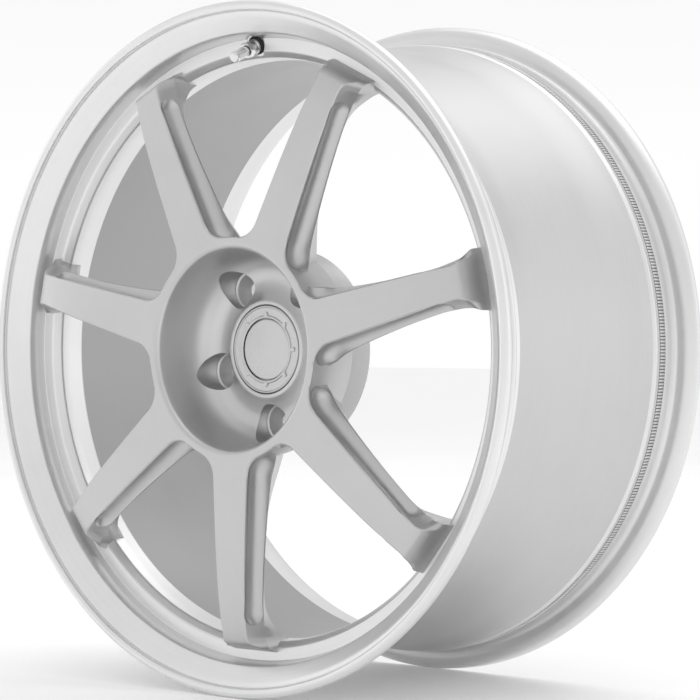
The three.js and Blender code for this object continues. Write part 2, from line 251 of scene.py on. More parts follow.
def lofted(name: str, rings: Sequence[Sequence[Point]]) -> bpy.types.Object:
    """Joins a row of closed sections into a solid with flat ends.

    Args:
        name: the piece's name.
        rings: the sections in order, all with the same number of points.

    Returns:
        The solid.
    """
    mesh_data = bmesh.new()
    made = [[mesh_data.verts.new(point) for point in ring] for ring in rings]
    count = len(made[0])
    for ring, following in zip(made, made[1:]):
        for k in range(count):
            after = (k + 1) % count
            mesh_data.faces.new((ring[k], ring[after], following[after], following[k]))
    mesh_data.faces.new(made[0])
    mesh_data.faces.new(list(reversed(made[-1])))
    return new_object(name, mesh_data)


class Cut(Enum):
    """How one solid changes another."""

    JOIN = "UNION"
    REMOVE = "DIFFERENCE"


def combine(piece: bpy.types.Object, cut: Cut, tools: Sequence[bpy.types.Object]) -> None:
    """Changes a solid by other solids, which are used up.

    Args:
        piece: the solid to change.
        cut: what the tools do to it.
        tools: the other solids.
    """
    for tool in tools:
        modifier = piece.modifiers.new("cut", "BOOLEAN")
        modifier.operation = cut.value
        modifier.solver = "MANIFOLD"
        modifier.object = tool
        seen = piece.evaluated_get(bpy.context.evaluated_depsgraph_get())
        result = bpy.data.meshes.new_from_object(seen)
        piece.modifiers.clear()
        before = piece.data
        piece.data = result
        bpy.data.meshes.remove(before)
        bpy.data.objects.remove(tool)


def copy_turned(piece: bpy.types.Object, angle: float) -> bpy.types.Object:
    """Copies a solid and turns the copy about the wheel's axis.

    Args:
        piece: the solid to copy.
        angle: turn in radians from +X towards +Z.

    Returns:
        The copy, with the turn in its vertices.
    """
    copy = bpy.data.objects.new(piece.name, piece.data.copy())
    copy.data.transform(Matrix.Rotation(-angle, 4, "Y"))
    bpy.context.scene.collection.objects.link(copy)
    return copy


def smooth(piece: bpy.types.Object, sharp_above: float = 24.0) -> None:
    """Shades a piece smoothly, with crisp edges where its faces meet at a real corner.

    Args:
        piece: the piece to shade.
        sharp_above: angle in degrees above which an edge stays crisp.
    """
    mesh = piece.data
    mesh.polygons.foreach_set("use_smooth", [True] * len(mesh.polygons))
    mesh.set_sharp_from_angle(angle=math.radians(sharp_above))
    weighted = piece.modifiers.new("even_normals", "WEIGHTED_NORMAL")
    weighted.keep_sharp = True


# ---------------------------------------------------------------- finishes


class Grain(Enum):
    """Direction of the fine marks that machining leaves."""

    ROUND_WHEEL_AXIS = "Y"
    ROUND_OWN_AXIS = "Z"
    ALONG_SPOKE = "X"


class NodeSheet:
    """A material's nodes, added one at a time."""

    def __init__(self, name: str) -> None:
        """Starts a material with one surface shader.

        Args:
            name: the material's name.
        """
        self.material = bpy.data.materials.new(name)
        self.material.use_nodes = True
        self.tree = self.material.node_tree
        self.shader = self.tree.nodes["Principled BSDF"]

    def add(self, kind: str, inputs: dict, **settings: object) -> bpy.types.Node:
        """Adds a node.

        Args:
            kind: the node's type.
            inputs: a value or a socket to link for each input, by name or number.
            settings: properties of the node.

        Returns:
            The new node.
        """
        node = self.tree.nodes.new(kind)
        for key, value in settings.items():
            setattr(node, key, value)
        for key, value in inputs.items():
            self.feed(node.inputs[key], value)
        return node

    def feed(self, socket: bpy.types.NodeSocket, value: object) -> None:
        """Gives an input a value or a link.

        Args:
            socket: the input.
            value: a number, a tuple or an output socket.
        """
        if isinstance(value, bpy.types.NodeSocket):
            self.tree.links.new(value, socket)
        else:
            socket.default_value = value

    def sums(self, operation: str, *values: object) -> bpy.types.NodeSocket:
        """The result of a sum on numbers or sockets."""
        return self.add("ShaderNodeMath", dict(enumerate(values)), operation=operation).outputs[0]

    def noise(self, place: bpy.types.NodeSocket, scale: float, detail: float) -> bpy.types.NodeSocket:
        """A field of soft random values from 0 to 1."""
        inputs = {"Vector": place, "Scale": scale, "Detail": detail, "Roughness": 0.55}
        return self.add("ShaderNodeTexNoise", inputs).outputs["Fac"]

    def tinted(self, colour: Colour, tone: bpy.types.NodeSocket) -> bpy.types.NodeSocket:
        """A colour made lighter or darker by a field of tones."""
        scaled = {0: colour, "Scale": tone}
        return self.add("ShaderNodeVectorMath", scaled, operation="SCALE").outputs[0]

    def spread(self, value: bpy.types.NodeSocket, low: float, high: float) -> bpy.types.NodeSocket:
        """Stretches a random field so that it runs from low to high.

        Args:
            value: the field, mostly between 0.25 and 0.75.
            low: lowest result.
            high: highest result.

        Returns:
            The stretched field.
        """
        inputs = {0: value, 1: 0.28, 2: 0.72, 3: low, 4: high}
        return self.add("ShaderNodeMapRange", inputs).outputs[0]

    def marks(self, grain: Grain) -> bpy.types.NodeSocket:
        """Places on the surface, drawn out along the machining marks.

        Args:
            grain: direction of the marks.

        Returns:
            A place in metres that hardly changes along a mark.
        """
        place = self.add("ShaderNodeTexCoord", {}).outputs["Object"]
        split = self.add("ShaderNodeSeparateXYZ", {0: place}).outputs
        if grain is Grain.ALONG_SPOKE:
            slow = self.sums("MULTIPLY", self.radius(split[0], split[2]), 0.06)
            turn = self.sums("ARCTAN2", split[2], split[0])
            return self.add("ShaderNodeCombineXYZ", {0: slow, 1: split[1], 2: turn}).outputs[0]
        along = split[1] if grain is Grain.ROUND_WHEEL_AXIS else split[2]
        side = split[2] if grain is Grain.ROUND_WHEEL_AXIS else split[1]
        radius = self.radius(split[0], side)
        turn = self.sums("ARCTAN2", side, split[0])
        slow = self.sums("MULTIPLY", self.sums("SINE", turn), 0.004)
        return self.add("ShaderNodeCombineXYZ", {0: radius, 1: along, 2: slow}).outputs[0]

    def radius(self, x: bpy.types.NodeSocket, z: bpy.types.NodeSocket) -> bpy.types.NodeSocket:
        """Distance from the axis, from two coordinates across it."""
        square = self.sums("ADD", self.sums("MULTIPLY", x, x), self.sums("MULTIPLY", z, z))
        return self.sums("SQRT", square)


@dataclass(frozen=True)
class InnerZone:
    """The part of a turned piece inside a straight cone, drawn in a different tone: painted shade
    inside the barrel and between the grip's ridges, and a lighter tone in the hub's dish.
    """

    front: tuple[float, float]
    rear: tuple[float, float]
    tone: float

    def share(self, sheet: NodeSheet, place: bpy.types.NodeSocket) -> bpy.types.NodeSocket:
        """Tone of each place on the piece.

        Args:
            sheet: the material that it belongs to.
            place: the place on the piece.

        Returns:
            The zone's tone inside the cone and 1 outside it.
        """
        split = sheet.add("ShaderNodeSeparateXYZ", {0: place}).outputs
        radius = sheet.radius(split[0], split[2])
        near, far = (depth - CROWN_TO_CENTRE for _, depth in (self.front, self.rear))
        edge = sheet.add(
            "ShaderNodeMapRange",
            {0: split[1], 1: near * MM, 2: far * MM, 3: self.front[0] * MM, 4: self.rear[0] * MM},
        ).outputs[0]
        outside = sheet.sums("GREATER_THAN", radius, edge)
        return sheet.add("ShaderNodeMapRange", {0: outside, 3: self.tone, 4: 1.0}).outputs[0]


@dataclass(frozen=True)
class MetalFinish:
    """Bare or plated metal with fine machining marks."""

    name: str
    slot: str
    colour: Colour
    roughness: float
    grain: Grain = Grain.ROUND_WHEEL_AXIS
    directional: float = 0.35
    mark_scale: float = 900.0
    mark_height: float = 0.00004
    cloud: float = 0.05
    metal: float = 1.0
    inner: InnerZone | None = None

    def material(self) -> bpy.types.Material:
        """Builds the material.

        Returns:
            A metal with clouded tone and roughness, and fine marks in its relief.
        """
        sheet = NodeSheet(self.name)
        shader = sheet.shader
        place = sheet.add("ShaderNodeTexCoord", {}).outputs["Object"]
        marks = sheet.marks(self.grain)
        clouds = sheet.noise(place, 26.0, 4.0)
        streaks = sheet.noise(marks, self.mark_scale * 0.35, 3.0)
        fine = sheet.noise(marks, self.mark_scale, 2.0)
        pits = sheet.noise(place, 2600.0, 2.0)
        tone = sheet.sums(
            "MULTIPLY", sheet.spread(clouds, 1 - self.cloud, 1.0), sheet.spread(streaks, 0.965, 1.0)
        )
        # The inner zone scales the colour inside its cone: painted shade inside the barrel and between
        # the grip's ridges, and a lighter tone in the hub's dish.
        if self.inner:
            tone = sheet.sums("MULTIPLY", tone, self.inner.share(sheet, place))
        sheet.feed(shader.inputs["Base Color"], sheet.tinted(self.colour, tone))
        rough = sheet.sums(
            "ADD",
            sheet.spread(clouds, self.roughness - 0.035, self.roughness + 0.035),
            sheet.spread(streaks, -0.03, 0.03),
        )
        sheet.feed(shader.inputs["Roughness"], rough)
        sheet.feed(shader.inputs["Metallic"], self.metal)
        relief = sheet.add(
            "ShaderNodeBump",
            {"Height": sheet.sums("ADD", fine, pits), "Strength": 0.35, "Distance": self.mark_height},
        )
        sheet.feed(shader.inputs["Normal"], relief.outputs[0])
        if self.grain is not Grain.ALONG_SPOKE:
            tangent = sheet.add(
                "ShaderNodeTangent", {}, direction_type="RADIAL", axis=self.grain.value
            )
            sheet.feed(shader.inputs["Tangent"], tangent.outputs[0])
            sheet.feed(shader.inputs["Anisotropic"], self.directional)
        return sheet.material


@dataclass(frozen=True)
class RubberFinish:
    """Moulded black rubber, matt and slightly dusty."""

    name: str = "moulded_rubber"
    slot: str = "black_rubber"
    colour: Colour = (0.012, 0.012, 0.012)
    roughness: float = 0.62

    def material(self) -> bpy.types.Material:
        """Builds the material.

        Returns:
            Dark rubber with a fine moulded relief and patches of dust.
        """
        sheet = NodeSheet(self.name)
        place = sheet.add("ShaderNodeTexCoord", {}).outputs["Object"]
        dust = sheet.noise(place, 420.0, 3.0)
        tone = sheet.spread(dust, 0.7, 2.2)
        sheet.feed(sheet.shader.inputs["Base Color"], sheet.tinted(self.colour, tone))
        rough = sheet.spread(dust, self.roughness - 0.1, self.roughness + 0.1)
        sheet.feed(sheet.shader.inputs["Roughness"], rough)
        relief = sheet.add(
            "ShaderNodeBump",
            {"Height": sheet.noise(place, 3000.0, 2.0), "Strength": 0.4, "Distance": 0.00003},
        )
        sheet.feed(sheet.shader.inputs["Normal"], relief.outputs[0])
        return sheet.material


LIP_FINISH = MetalFinish("turned_lip", "forged_aluminium", (0.84, 0.84, 0.84), 0.36, metal=0.9)
BARREL_FINISH = MetalFinish(
    "turned_barrel",
    "forged_aluminium",
    (0.60, 0.60, 0.60),
    0.42,
    # Painted shade: the bore inside the barrel is drawn at 0.66 of the finish's tone, darker than the
    # outer surface.
    inner=InnerZone((225.2, LIP_TO_BARREL), (238.0, BARREL_TO_REAR), 0.66),
)
FLANGE_FINISH = MetalFinish("turned_flange", "forged_aluminium", (0.78, 0.78, 0.78), 0.38, metal=0.9)
SPOKE_FINISH = MetalFinish(
    "milled_spokes",
    "forged_aluminium",
    (0.60, 0.60, 0.60),
    0.40,
    grain=Grain.ALONG_SPOKE,
    inner=InnerZone((77.0, -10.0), (77.0, PAD_DEPTH), 1.12),
)
CAP_FINISH = MetalFinish(
    "turned_cap", "turned_aluminium", (0.64, 0.64, 0.64), 0.30, directional=0.6, mark_scale=1800.0
)
STEM_FINISH = MetalFinish(
    "turned_stem", "turned_aluminium", (0.70, 0.70, 0.70), 0.26, grain=Grain.ROUND_OWN_AXIS
)
PLATED_FINISH = MetalFinish(
    "bright_plating",
    "bright_plating",
    (0.86, 0.86, 0.86),
    0.16,
    grain=Grain.ROUND_OWN_AXIS,
    cloud=0.03,
)
GRIP_FINISH = MetalFinish(
    "knurled_grip",
    "forged_aluminium",
    (0.72, 0.72, 0.72),
    0.34,
    # Painted shade: the grooves between the grip's ridges, inside radius 243.75, are drawn at a quarter
    # of the finish's tone and the ridge tops at full tone.
    inner=InnerZone((243.75, 200.0), (243.75, 230.0), 0.25),
)
WIRE_FINISH = MetalFinish("drawn_wire", "spring_steel", (0.42, 0.43, 0.45), 0.30)
BRASS_FINISH = MetalFinish(
    "turned_brass", "brass", (0.74, 0.54, 0.22), 0.28, grain=Grain.ROUND_OWN_AXIS
)
RUBBER = RubberFinish()


def dress(
    piece: bpy.types.Object,
    finish: MetalFinish | RubberFinish,
    body: str,
    nodes: Sequence[str],
) -> None:
    """Gives a piece its material and its place in the assembly.

    Args:
        piece: the piece to dress.
        finish: its finish.
        body: the moving body that it rides on.
        nodes: the CAD nodes that it stands for.
    """
    known = bpy.data.materials.get(finish.name)
    piece.data.materials.clear()
    piece.data.materials.append(known or finish.material())
    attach(piece, body)
    if nodes:
        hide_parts(*nodes)
    log.info("%s: %d faces", piece.name, len(piece.data.polygons))


# ---------------------------------------------------------------- rim


@dataclass
class Rim:
    """Outer lip, barrel and inner flange, turned on one axis."""

    segments: int = 336
    roll_radius: float = 9.5
    edge_radius: float = 3.9
    well_radius: float = 229.2
    bore_front: float = 221.0
    bore_rear: float = 232.8
    rear_seat_radius: float = 243.2
    grip_teeth: int = 620
    grip_height: float = 1.1
    grip_from: float = 208.5
    grip_to: float = 215.5
    valve_face_radius: float = 9.4

    def flange(self, bead_face: float, side: int) -> Outline:
        """Outline of a flange, from its bead face over the roll to its inner edge.

        Args:
            bead_face: depth of the bead face.
            side: 1 for the rear flange, -1 for the front one.

        Returns:
            (radius, depth) points.
        """
        centre = FLANGE_RADIUS - self.roll_radius
        roll = arc((centre, self.roll_radius), self.roll_radius, (-90, 0), 14)
        edge_centre = FLANGE_RADIUS - self.edge_radius
        edge = arc((edge_centre, self.roll_radius + 0.5), self.edge_radius, (0, 140), 14)
        return [(radius, bead_face + side * out) for radius, out in roll + edge]

    def lip_outline(self) -> Outline:
        """Outline of the front flange, lip, shoulder and front wall of the well."""
        face = CROWN_FROM_BEAD_FACE
        seat = rounded(
            [
                (self.well_radius, LIP_TO_BARREL, 0),
                (self.well_radius + 0.1, 46.4, 3), (232.6, 40.8, 3),
                (243.4, 32.2, 2), (244.6, 30, 1.5), (244.2, 28, 1.5), (242.4, 26, 2),
                (243.6, 13.2, 1.5), (246.6, face, 2), (250, face, 0),
            ]
        )
        inside = rounded(
            [
                (254.6, -1.6, 0), (255, 1.7, 0.8), (252.6, 0.8, 1.2),
                (249.8, 2.4, 3), (241.6, 9.2, 5), (237.9, 12.2, 1.2),
                (236.6, 16.2, 4), (235.8, 21.0, 4), (235.2, 26.0, 0.8),
                (225.8, 26.1, 0.5), (224.6, 27.0, 0.8), (220.6, 32.0, 1.5),
                (219.9, 39, 4), (220.3, 53.2, 1.0),
                (self.bore_front, LIP_TO_BARREL, 0),
            ]
        )
        return seat + self.flange(face, -1) + inside

    def barrel_outline(self) -> Outline:
        """Outline of the plain barrel between the lip and the rear seat."""
        outer = rounded(
            [
                (self.well_radius, LIP_TO_BARREL, 0),
                (self.well_radius, 70, 12),
                (231, 95, 20),
                (237.2, 165, 20),
                (242.2, 192, 10),
                (self.rear_seat_radius, BARREL_TO_REAR, 0),
            ]
        )
        inner = rounded(
            [
                (self.bore_rear, BARREL_TO_REAR, 0),
                (229, 160, 20),
                (224, 100, 20),
                (self.bore_front, LIP_TO_BARREL, 0),
            ]
        )
        return outer + inner

    def rear_outline(self) -> Outline:
        """Outline of the rear bead seat and flange, with the recess of the grip band."""
        face = CROWN_FROM_BEAD_FACE + RIM_WIDTH
        seat = rounded(
            [
                (self.rear_seat_radius, BARREL_TO_REAR, 0), (244.5, 203.4, 2.5),
                (243.9, 206.4, 2), (243.7, self.grip_from - 0.3, 0.2),
                (242.7, self.grip_from - 0.2, 0), (242.7, self.grip_to + 0.2, 0),
                (243.7, self.grip_to + 0.3, 0.2), (244.4, 222.6, 3),
                (246.4, face, 2.5), (250, face, 0),
            ]
        )
        inside = rounded(
            [
                (253.9, face + 12.4, 0),
                (250.4, face + 10, 3),
                (243.6, 231.4, 5),
                (237.6, 227.6, 4),
                (234.6, 221.6, 4),
                (self.bore_rear, BARREL_TO_REAR, 0),
            ]
        )
        return seat + self.flange(face, 1) + inside

    def grip_band(self) -> bpy.types.Object:
        """The band of fine cross ridges on the rear bead seat.

        Returns:
            A ring with one ridge to every four steps round it.
        """
        base = 242.4
        outline = [
            (base, self.grip_from),
            (base + 0.8, self.grip_from),
            (base + 1.0, self.grip_from + 0.7),
            (base + 1.0, self.grip_to - 0.7),
            (base + 0.8, self.grip_to),
            (base, self.grip_to),
        ]
        shape = (0.0, 0.5, 1.0, 0.5)

        def ridge(step: int, point: int) -> float:
            """Height of the ridges, on the outer side of the band only."""
            share = 1.0 if point in (2, 3) else 0.45
            return self.grip_height * share * shape[step % 4] if 0 < point < 5 else 0.0

        return turned("grip_band", outline, 4 * self.grip_teeth, ripple=ridge)

    def build(self, valve: "Valve") -> list[bpy.types.Object]:
        """Builds and dresses the rim.

        Args:
            valve: the valve, whose seat is cut into the lip.

        Returns:
            The finished pieces.
        """
        lip = turned("lip", self.lip_outline(), self.segments)
        combine(lip, Cut.REMOVE, [valve.seat_cutter(self.valve_face_radius)])
        barrel = turned("barrel_wall", self.barrel_outline(), self.segments)
        rear = turned("rear_flange", self.rear_outline(), self.segments)
        grip = self.grip_band()
        for piece in (lip, barrel, rear):
            smooth(piece)
        smooth(grip, 60.0)
        dress(lip, LIP_FINISH, "wheel", ["outer_lip"])
        dress(barrel, BARREL_FINISH, "wheel", ["barrel"])
        dress(rear, FLANGE_FINISH, "wheel", ["inner_flange"])
        dress(grip, GRIP_FINISH, "wheel", [])
        return [lip, barrel, rear, grip]


def spoke_angle(number: int) -> float:
    """Angle of a spoke from +X towards +Z, the first one pointing straight down."""
    return -math.pi / 2 + 2 * math.pi * number / SPOKE_COUNT


# ---------------------------------------------------------------- hub and spokes


@dataclass
class WheelCentre:
    """The dished hub and its seven milled spokes, cut from one solid."""

    segments: int = 252
    hub_radius: float = 84.5
    pad_radius: float = 76.4
    bore_radius: float = 33.3
    cap_seat_radius: float = 34.0
    chamfer: float = 0.9
    hub_fillet: float = 19.0
    tip_fillet: float = 14.0
    tip_fillet_start: float = 213.5
    half_width_hub: float = 17.1
    half_width_tip: float = 12.3
    ridge_depth: float = 17.2
    least_slope: float = 0.35
    waist_share: float = 0.38
    waist_height: float = 0.55
    trough_radius: float = 9.8
    trough_from_flank: float = 6.3
    trough_run: tuple[float, float] = (83.6, 200.5)
    trough_depths: tuple[float, float] = (6.2, 7.2)
    lug_circle: float = 56.0
    lug_socket: float = 14.4
    lug_seat: float = 12.9
    lug_hole: float = 7.5
    lug_seat_depth: float = 55.2
    lug_seat_half_angle: float = 30.0
    face_heights: Knots = (
        (60, -3.3), (120, -3.3), (150, -3.0), (180, -1.8), (200, 0.0), (212, 1.9),
        (217, 3.2), (219.8, 4.8), (222, 8.6), (224.3, 15.0), (226.4, 21.5), (231, 36.0),
    )
    back_depths: Knots = (
        (60, 52), (84.8, 42), (110, 31), (128, 26), (150, 23), (190, 23), (205, 27),
        (214, 34), (221, 45), (225, 45.5), (231, 38.5),
    )
    rib_half_widths: Knots = (
        (60, 33), (84, 28.4), (96, 24.6), (118, 21.3), (155, 17.8), (190, 16.2),
        (200, 16.6), (208, 17.2), (214, 18.0), (219, 19.4), (223, 21.4), (231, 24.0),
    )
    back_half_widths: Knots = (
        (60, 12), (190, 12), (200, 13.6), (208, 16.4), (214, 18.2), (219, 20.6),
        (231, 23.0),
    )

    def flank(self) -> tuple[Outline, Outline]:
        """One flank of a spoke's face, with the direction that it faces.

        Returns:
            The (x, across) points from the hub to the rim, and the outward normal at each.
        """
        reach = self.half_width_hub + self.hub_fillet
        hub_x = math.sqrt((self.hub_radius + self.hub_fillet) ** 2 - reach**2)
        start = 180 + math.degrees(math.atan2(reach, hub_x))
        hub_arc = arc((hub_x, reach), self.hub_fillet, (start, 270), 18)
        tip_centre = (self.tip_fillet_start, self.half_width_tip + self.tip_fillet)
        tip_arc = arc(tip_centre, self.tip_fillet, (270, 338), 18)
        points = [(SPOKE_ROOT, hub_arc[0][1])] + hub_arc
        points += between(hub_arc[-1], tip_arc[0], 30)[1:-1]
        points += tip_arc[:-1]
        points += between(tip_arc[-1], (SPOKE_TIP, tip_arc[-1][1] + 3.0), 10)
        normals: Outline = []
        for i in range(len(points)):
            ahead, behind = points[min(i + 1, len(points) - 1)], points[max(i - 1, 0)]
            along = Vector(ahead) - Vector(behind)
            along.normalize()
            normals.append((-along.y, along.x))
        return points, normals

    def spoke(self) -> bpy.types.Object:
        """One spoke along +X: a flat face, flanks that widen to a ridge, and a narrow back.

        Returns:
            The spoke, reaching into the hub and into the rim, before its troughs are cut.
        """
        rings = []
        for (x, face), (_, steepness) in zip(*self.flank()):
            height = eased(self.face_heights, x)
            bevel = self.chamfer / max(abs(steepness), self.least_slope)
            ridge = max(self.ridge_depth, height + self.chamfer + 0.6)
            back = max(eased(self.back_depths, x), ridge + 1)
            wide = max(eased(self.rib_half_widths, x), face + 0.4)
            narrow = min(eased(self.back_half_widths, x), wide)
            waist = narrow + self.waist_share * (wide - narrow)
            half = [
                (face - bevel, height),
                (face, height + self.chamfer),
                (wide, ridge),
                (waist, ridge + self.waist_height * (back - ridge)),
                (narrow, back),
            ]
            section = half + [(-across, depth) for across, depth in reversed(half)]
            rings.append([wheel_point(x, depth, across) for across, depth in section])
        return lofted("spoke", rings)

    def trough(self, side: int) -> bpy.types.Object:
        """The ball-nosed trough milled along one flank and round into the hub fillet.

        Args:
            side: 1 or -1, the flank to cut.

        Returns:
            A rounded bar that keeps its distance from the flank.
        """
        ball = self.trough_radius
        first, last = self.trough_run
        path = []
        for (x, across), (nx, na) in zip(*self.flank()):
            if first <= x <= last:
                share = (x - first) / (last - first)
                depth = self.trough_depths[0] + share * (self.trough_depths[1] - self.trough_depths[0])
                out = self.trough_from_flank
                path.append((Vector((x + nx * out, across + na * out)), Vector((nx, na)), depth, ball))
        caps = 8
        ends = []
        for (place, normal, depth, _), way in ((path[0], -1), (path[-1], 1)):
            heading = Vector((normal.y, -normal.x)) * way
            cap = []
            for step in range(1, caps):
                angle = math.pi / 2 * step / caps
                there = place + heading * ball * math.sin(angle)
                cap.append((there, normal, depth, ball * math.cos(angle)))
            cap.append((place + heading * ball * 0.999, normal, depth, ball * 0.03))
            ends.append(cap)
        rings = []
        steps = 48
        for place, normal, depth, radius in list(reversed(ends[0])) + path + ends[1]:
            ring = []
            for i in range(steps):
                angle = 2 * math.pi * i / steps
                spot = place + normal * radius * math.cos(angle)
                ring.append(wheel_point(spot.x, depth + radius * math.sin(angle), side * spot.y))
            rings.append(ring)
        return lofted("trough", rings)

    def hub_blank(self) -> bpy.types.Object:
        """The hub before its dish, bore and bolt holes are cut."""
        edge = self.hub_radius
        outline = rounded(
            [
                (0, FACE_DEPTH, 0), (edge - self.chamfer, FACE_DEPTH, 0),
                (edge, FACE_DEPTH + self.chamfer, 0), (edge, 14, 10), (82.4, 30, 10),
                (79.0, 46.4, 1.0), (self.pad_radius + 0.8, 47.2, 0.6),
                (self.pad_radius, 49, 1), (self.pad_radius, PAD_DEPTH - 1.4, 0.3),
                (self.pad_radius - 1.4, PAD_DEPTH, 0.3), (0, PAD_DEPTH, 0),
            ]
        )
        return turned("centre_forging", outline, self.segments)

    def dish_cutter(self) -> bpy.types.Object:
        """The dish, the cap's seat and the centre bore, as one solid to remove."""
        outline = rounded(
            [
                (0, FACE_DEPTH - 6, 0), (80.2, FACE_DEPTH - 6, 0),
                (80.2, FACE_DEPTH - 0.01, 0), (78.6, FACE_DEPTH + 0.2, 1.2),
                (76.2, FACE_DEPTH + 2.2, 2.2), (75.2, 3, 5), (72.6, 25, 12),
                (69.4, 34.6, 9), (61.2, 43.4, 8), (54, 46, 6), (47, 44.8, 6),
                (41, 41.2, 5), (37, 36.9, 1.5), (34.8, 36.8, 0.4),
                (self.cap_seat_radius, 37.6, 0.3), (self.cap_seat_radius, 46, 0),
                (self.bore_radius, 46.4, 0), (self.bore_radius, PAD_DEPTH - 1, 0),
                (self.bore_radius + 1.4, PAD_DEPTH + 0.4, 0),
                (self.bore_radius + 1.4, PAD_DEPTH + 5, 0), (0, PAD_DEPTH + 5, 0),
            ],
            7,
        )
        return turned("dish", outline, self.segments)

    def lug_cutter(self) -> bpy.types.Object:
        """Socket, seat and bolt hole of one wheel bolt, on the wheel's own axis."""
        slope = math.tan(math.radians(self.lug_seat_half_angle))
        cone = (self.lug_seat - self.lug_hole) / slope
        outline = rounded(
            [
                (0, 15, 0), (self.lug_socket, 15, 0),
                (self.lug_socket, self.lug_seat_depth - 0.8, 0.5),
                (self.lug_seat, self.lug_seat_depth, 0.3),
                (self.lug_hole, self.lug_seat_depth + cone, 0.5),
                (self.lug_hole, PAD_DEPTH + 5, 0), (0, PAD_DEPTH + 5, 0),
            ]
        )
        return turned("lug", outline, 72)

    def build(self) -> list[bpy.types.Object]:
        """Builds and dresses the hub with its spokes.

        Returns:
            The finished piece in a list.
        """
        centre = self.hub_blank()
        spoke = self.spoke()
        troughs = [self.trough(side) for side in (1, -1)]
        for k in range(SPOKE_COUNT):
            combine(centre, Cut.JOIN, [copy_turned(spoke, spoke_angle(k))])
        for k in range(SPOKE_COUNT):
            combine(centre, Cut.REMOVE, [copy_turned(trough, spoke_angle(k)) for trough in troughs])
        for tool in [spoke] + troughs:
            bpy.data.objects.remove(tool)
        combine(centre, Cut.REMOVE, [self.dish_cutter()])
        for k in range(LUG_COUNT):
            angle = -math.pi / 2 + 2 * math.pi * k / LUG_COUNT
            cutter = self.lug_cutter()
            offset = Vector((math.cos(angle), 0, math.sin(angle))) * self.lug_circle * MM
            cutter.data.transform(Matrix.Translation(offset))
            combine(centre, Cut.REMOVE, [cutter])
        smooth(centre)
        nodes = ["hub_centre"] + [f"spoke_{k + 1}" for k in range(SPOKE_COUNT)]
        dress(centre, SPOKE_FINISH, "wheel", nodes)
        return [centre]


# ---------------------------------------------------------------- centre cap


@dataclass
class CentreCap:
    """The clipped-in cap: a ring with small index marks round a turned disc."""

    segments: int = 180
    ring_outer: float = 33.5
    ring_inner: float = 24.4
    disc_radius: float = 23.6
    mark_count: int = 8

    def body_outline(self) -> Outline:
        """Outline of the cap's face ring, floor and skirt."""
        return rounded(
            [
                (0, 40.2, 0), (self.disc_radius + 0.1, 40.2, 0),
                (self.disc_radius + 0.1, 37.6, 0.2), (self.ring_inner, 37.0, 0.3),
                (25.4, 37.0, 0.3), (26.0, 38.1, 0.3), (31.6, 38.1, 0.3),
                (32.2, 37.1, 0.3), (32.9, 37.1, 0.3), (self.ring_outer, 37.8, 0.3),
                (self.ring_outer, 45.4, 0.2), (32.8, 45.9, 0), (32.8, 56, 0.3),
                (31.9, 57, 0.3), (30.6, 57, 0), (30.6, 44, 0), (0, 44, 0),
            ]
        )

    def disc_outline(self) -> Outline:
        """Outline of the turned disc in the middle of the cap."""
        return rounded(
            [
                (0, 36.9, 0),
                (3, 36.95, 2),
                (22.4, 37.9, 0.5),
                (self.disc_radius - 0.3, 38.6, 0.3),
                (self.disc_radius - 0.3, 39.9, 0),
                (0, 39.9, 0),
            ]
        )

    def mark(self, number: int) -> bpy.types.Object:
        """One raised index mark on the ring: a wedge, or a round stud for the first.

        Args:
            number: 0 to mark_count - 1, counted from +X.

        Returns:
            The mark.
        """
        if number == 0:
            shape = arc((27.2, 0), 1.9, (0, 345), 23)
        else:
            shape = [(25.2, -2.3), (28.6, -0.55), (28.6, 0.55), (25.2, 2.3)]
        middle = (27.0, 0.0)
        rings = []
        for depth, grow in ((38.4, 1.0), (37.2, 1.0), (36.95, 0.82)):
            rings.append(
                [
                    wheel_point(
                        middle[0] + (x - middle[0]) * grow, depth, middle[1] + (a - middle[1]) * grow
                    )
                    for x, a in shape
                ]
            )
        mark = lofted("cap_mark", rings)
        mark.data.transform(Matrix.Rotation(-2 * math.pi * number / self.mark_count, 4, "Y"))
        return mark

    def build(self) -> list[bpy.types.Object]:
        """Builds and dresses the cap.

        Returns:
            The finished pieces.
        """
        body = turned("cap_ring", self.body_outline(), self.segments)
        for number in range(self.mark_count):
            combine(body, Cut.JOIN, [self.mark(number)])
        disc = turned("cap_disc", self.disc_outline(), self.segments)
        clip = turned("cap_clip_ring", arc((29.3, 53), 0.9, (0, 330), 11), self.segments)
        for piece in (body, disc, clip):
            smooth(piece, 30.0)
        dress(body, CAP_FINISH, "centre_cap", ["centre_cap_body"])
        dress(disc, CAP_FINISH, "centre_cap", ["centre_cap_medallion"])
        dress(clip, WIRE_FINISH, "centre_cap", ["centre_cap_spring_ring"])
        return [body, disc, clip]


# ---------------------------------------------------------------- valve


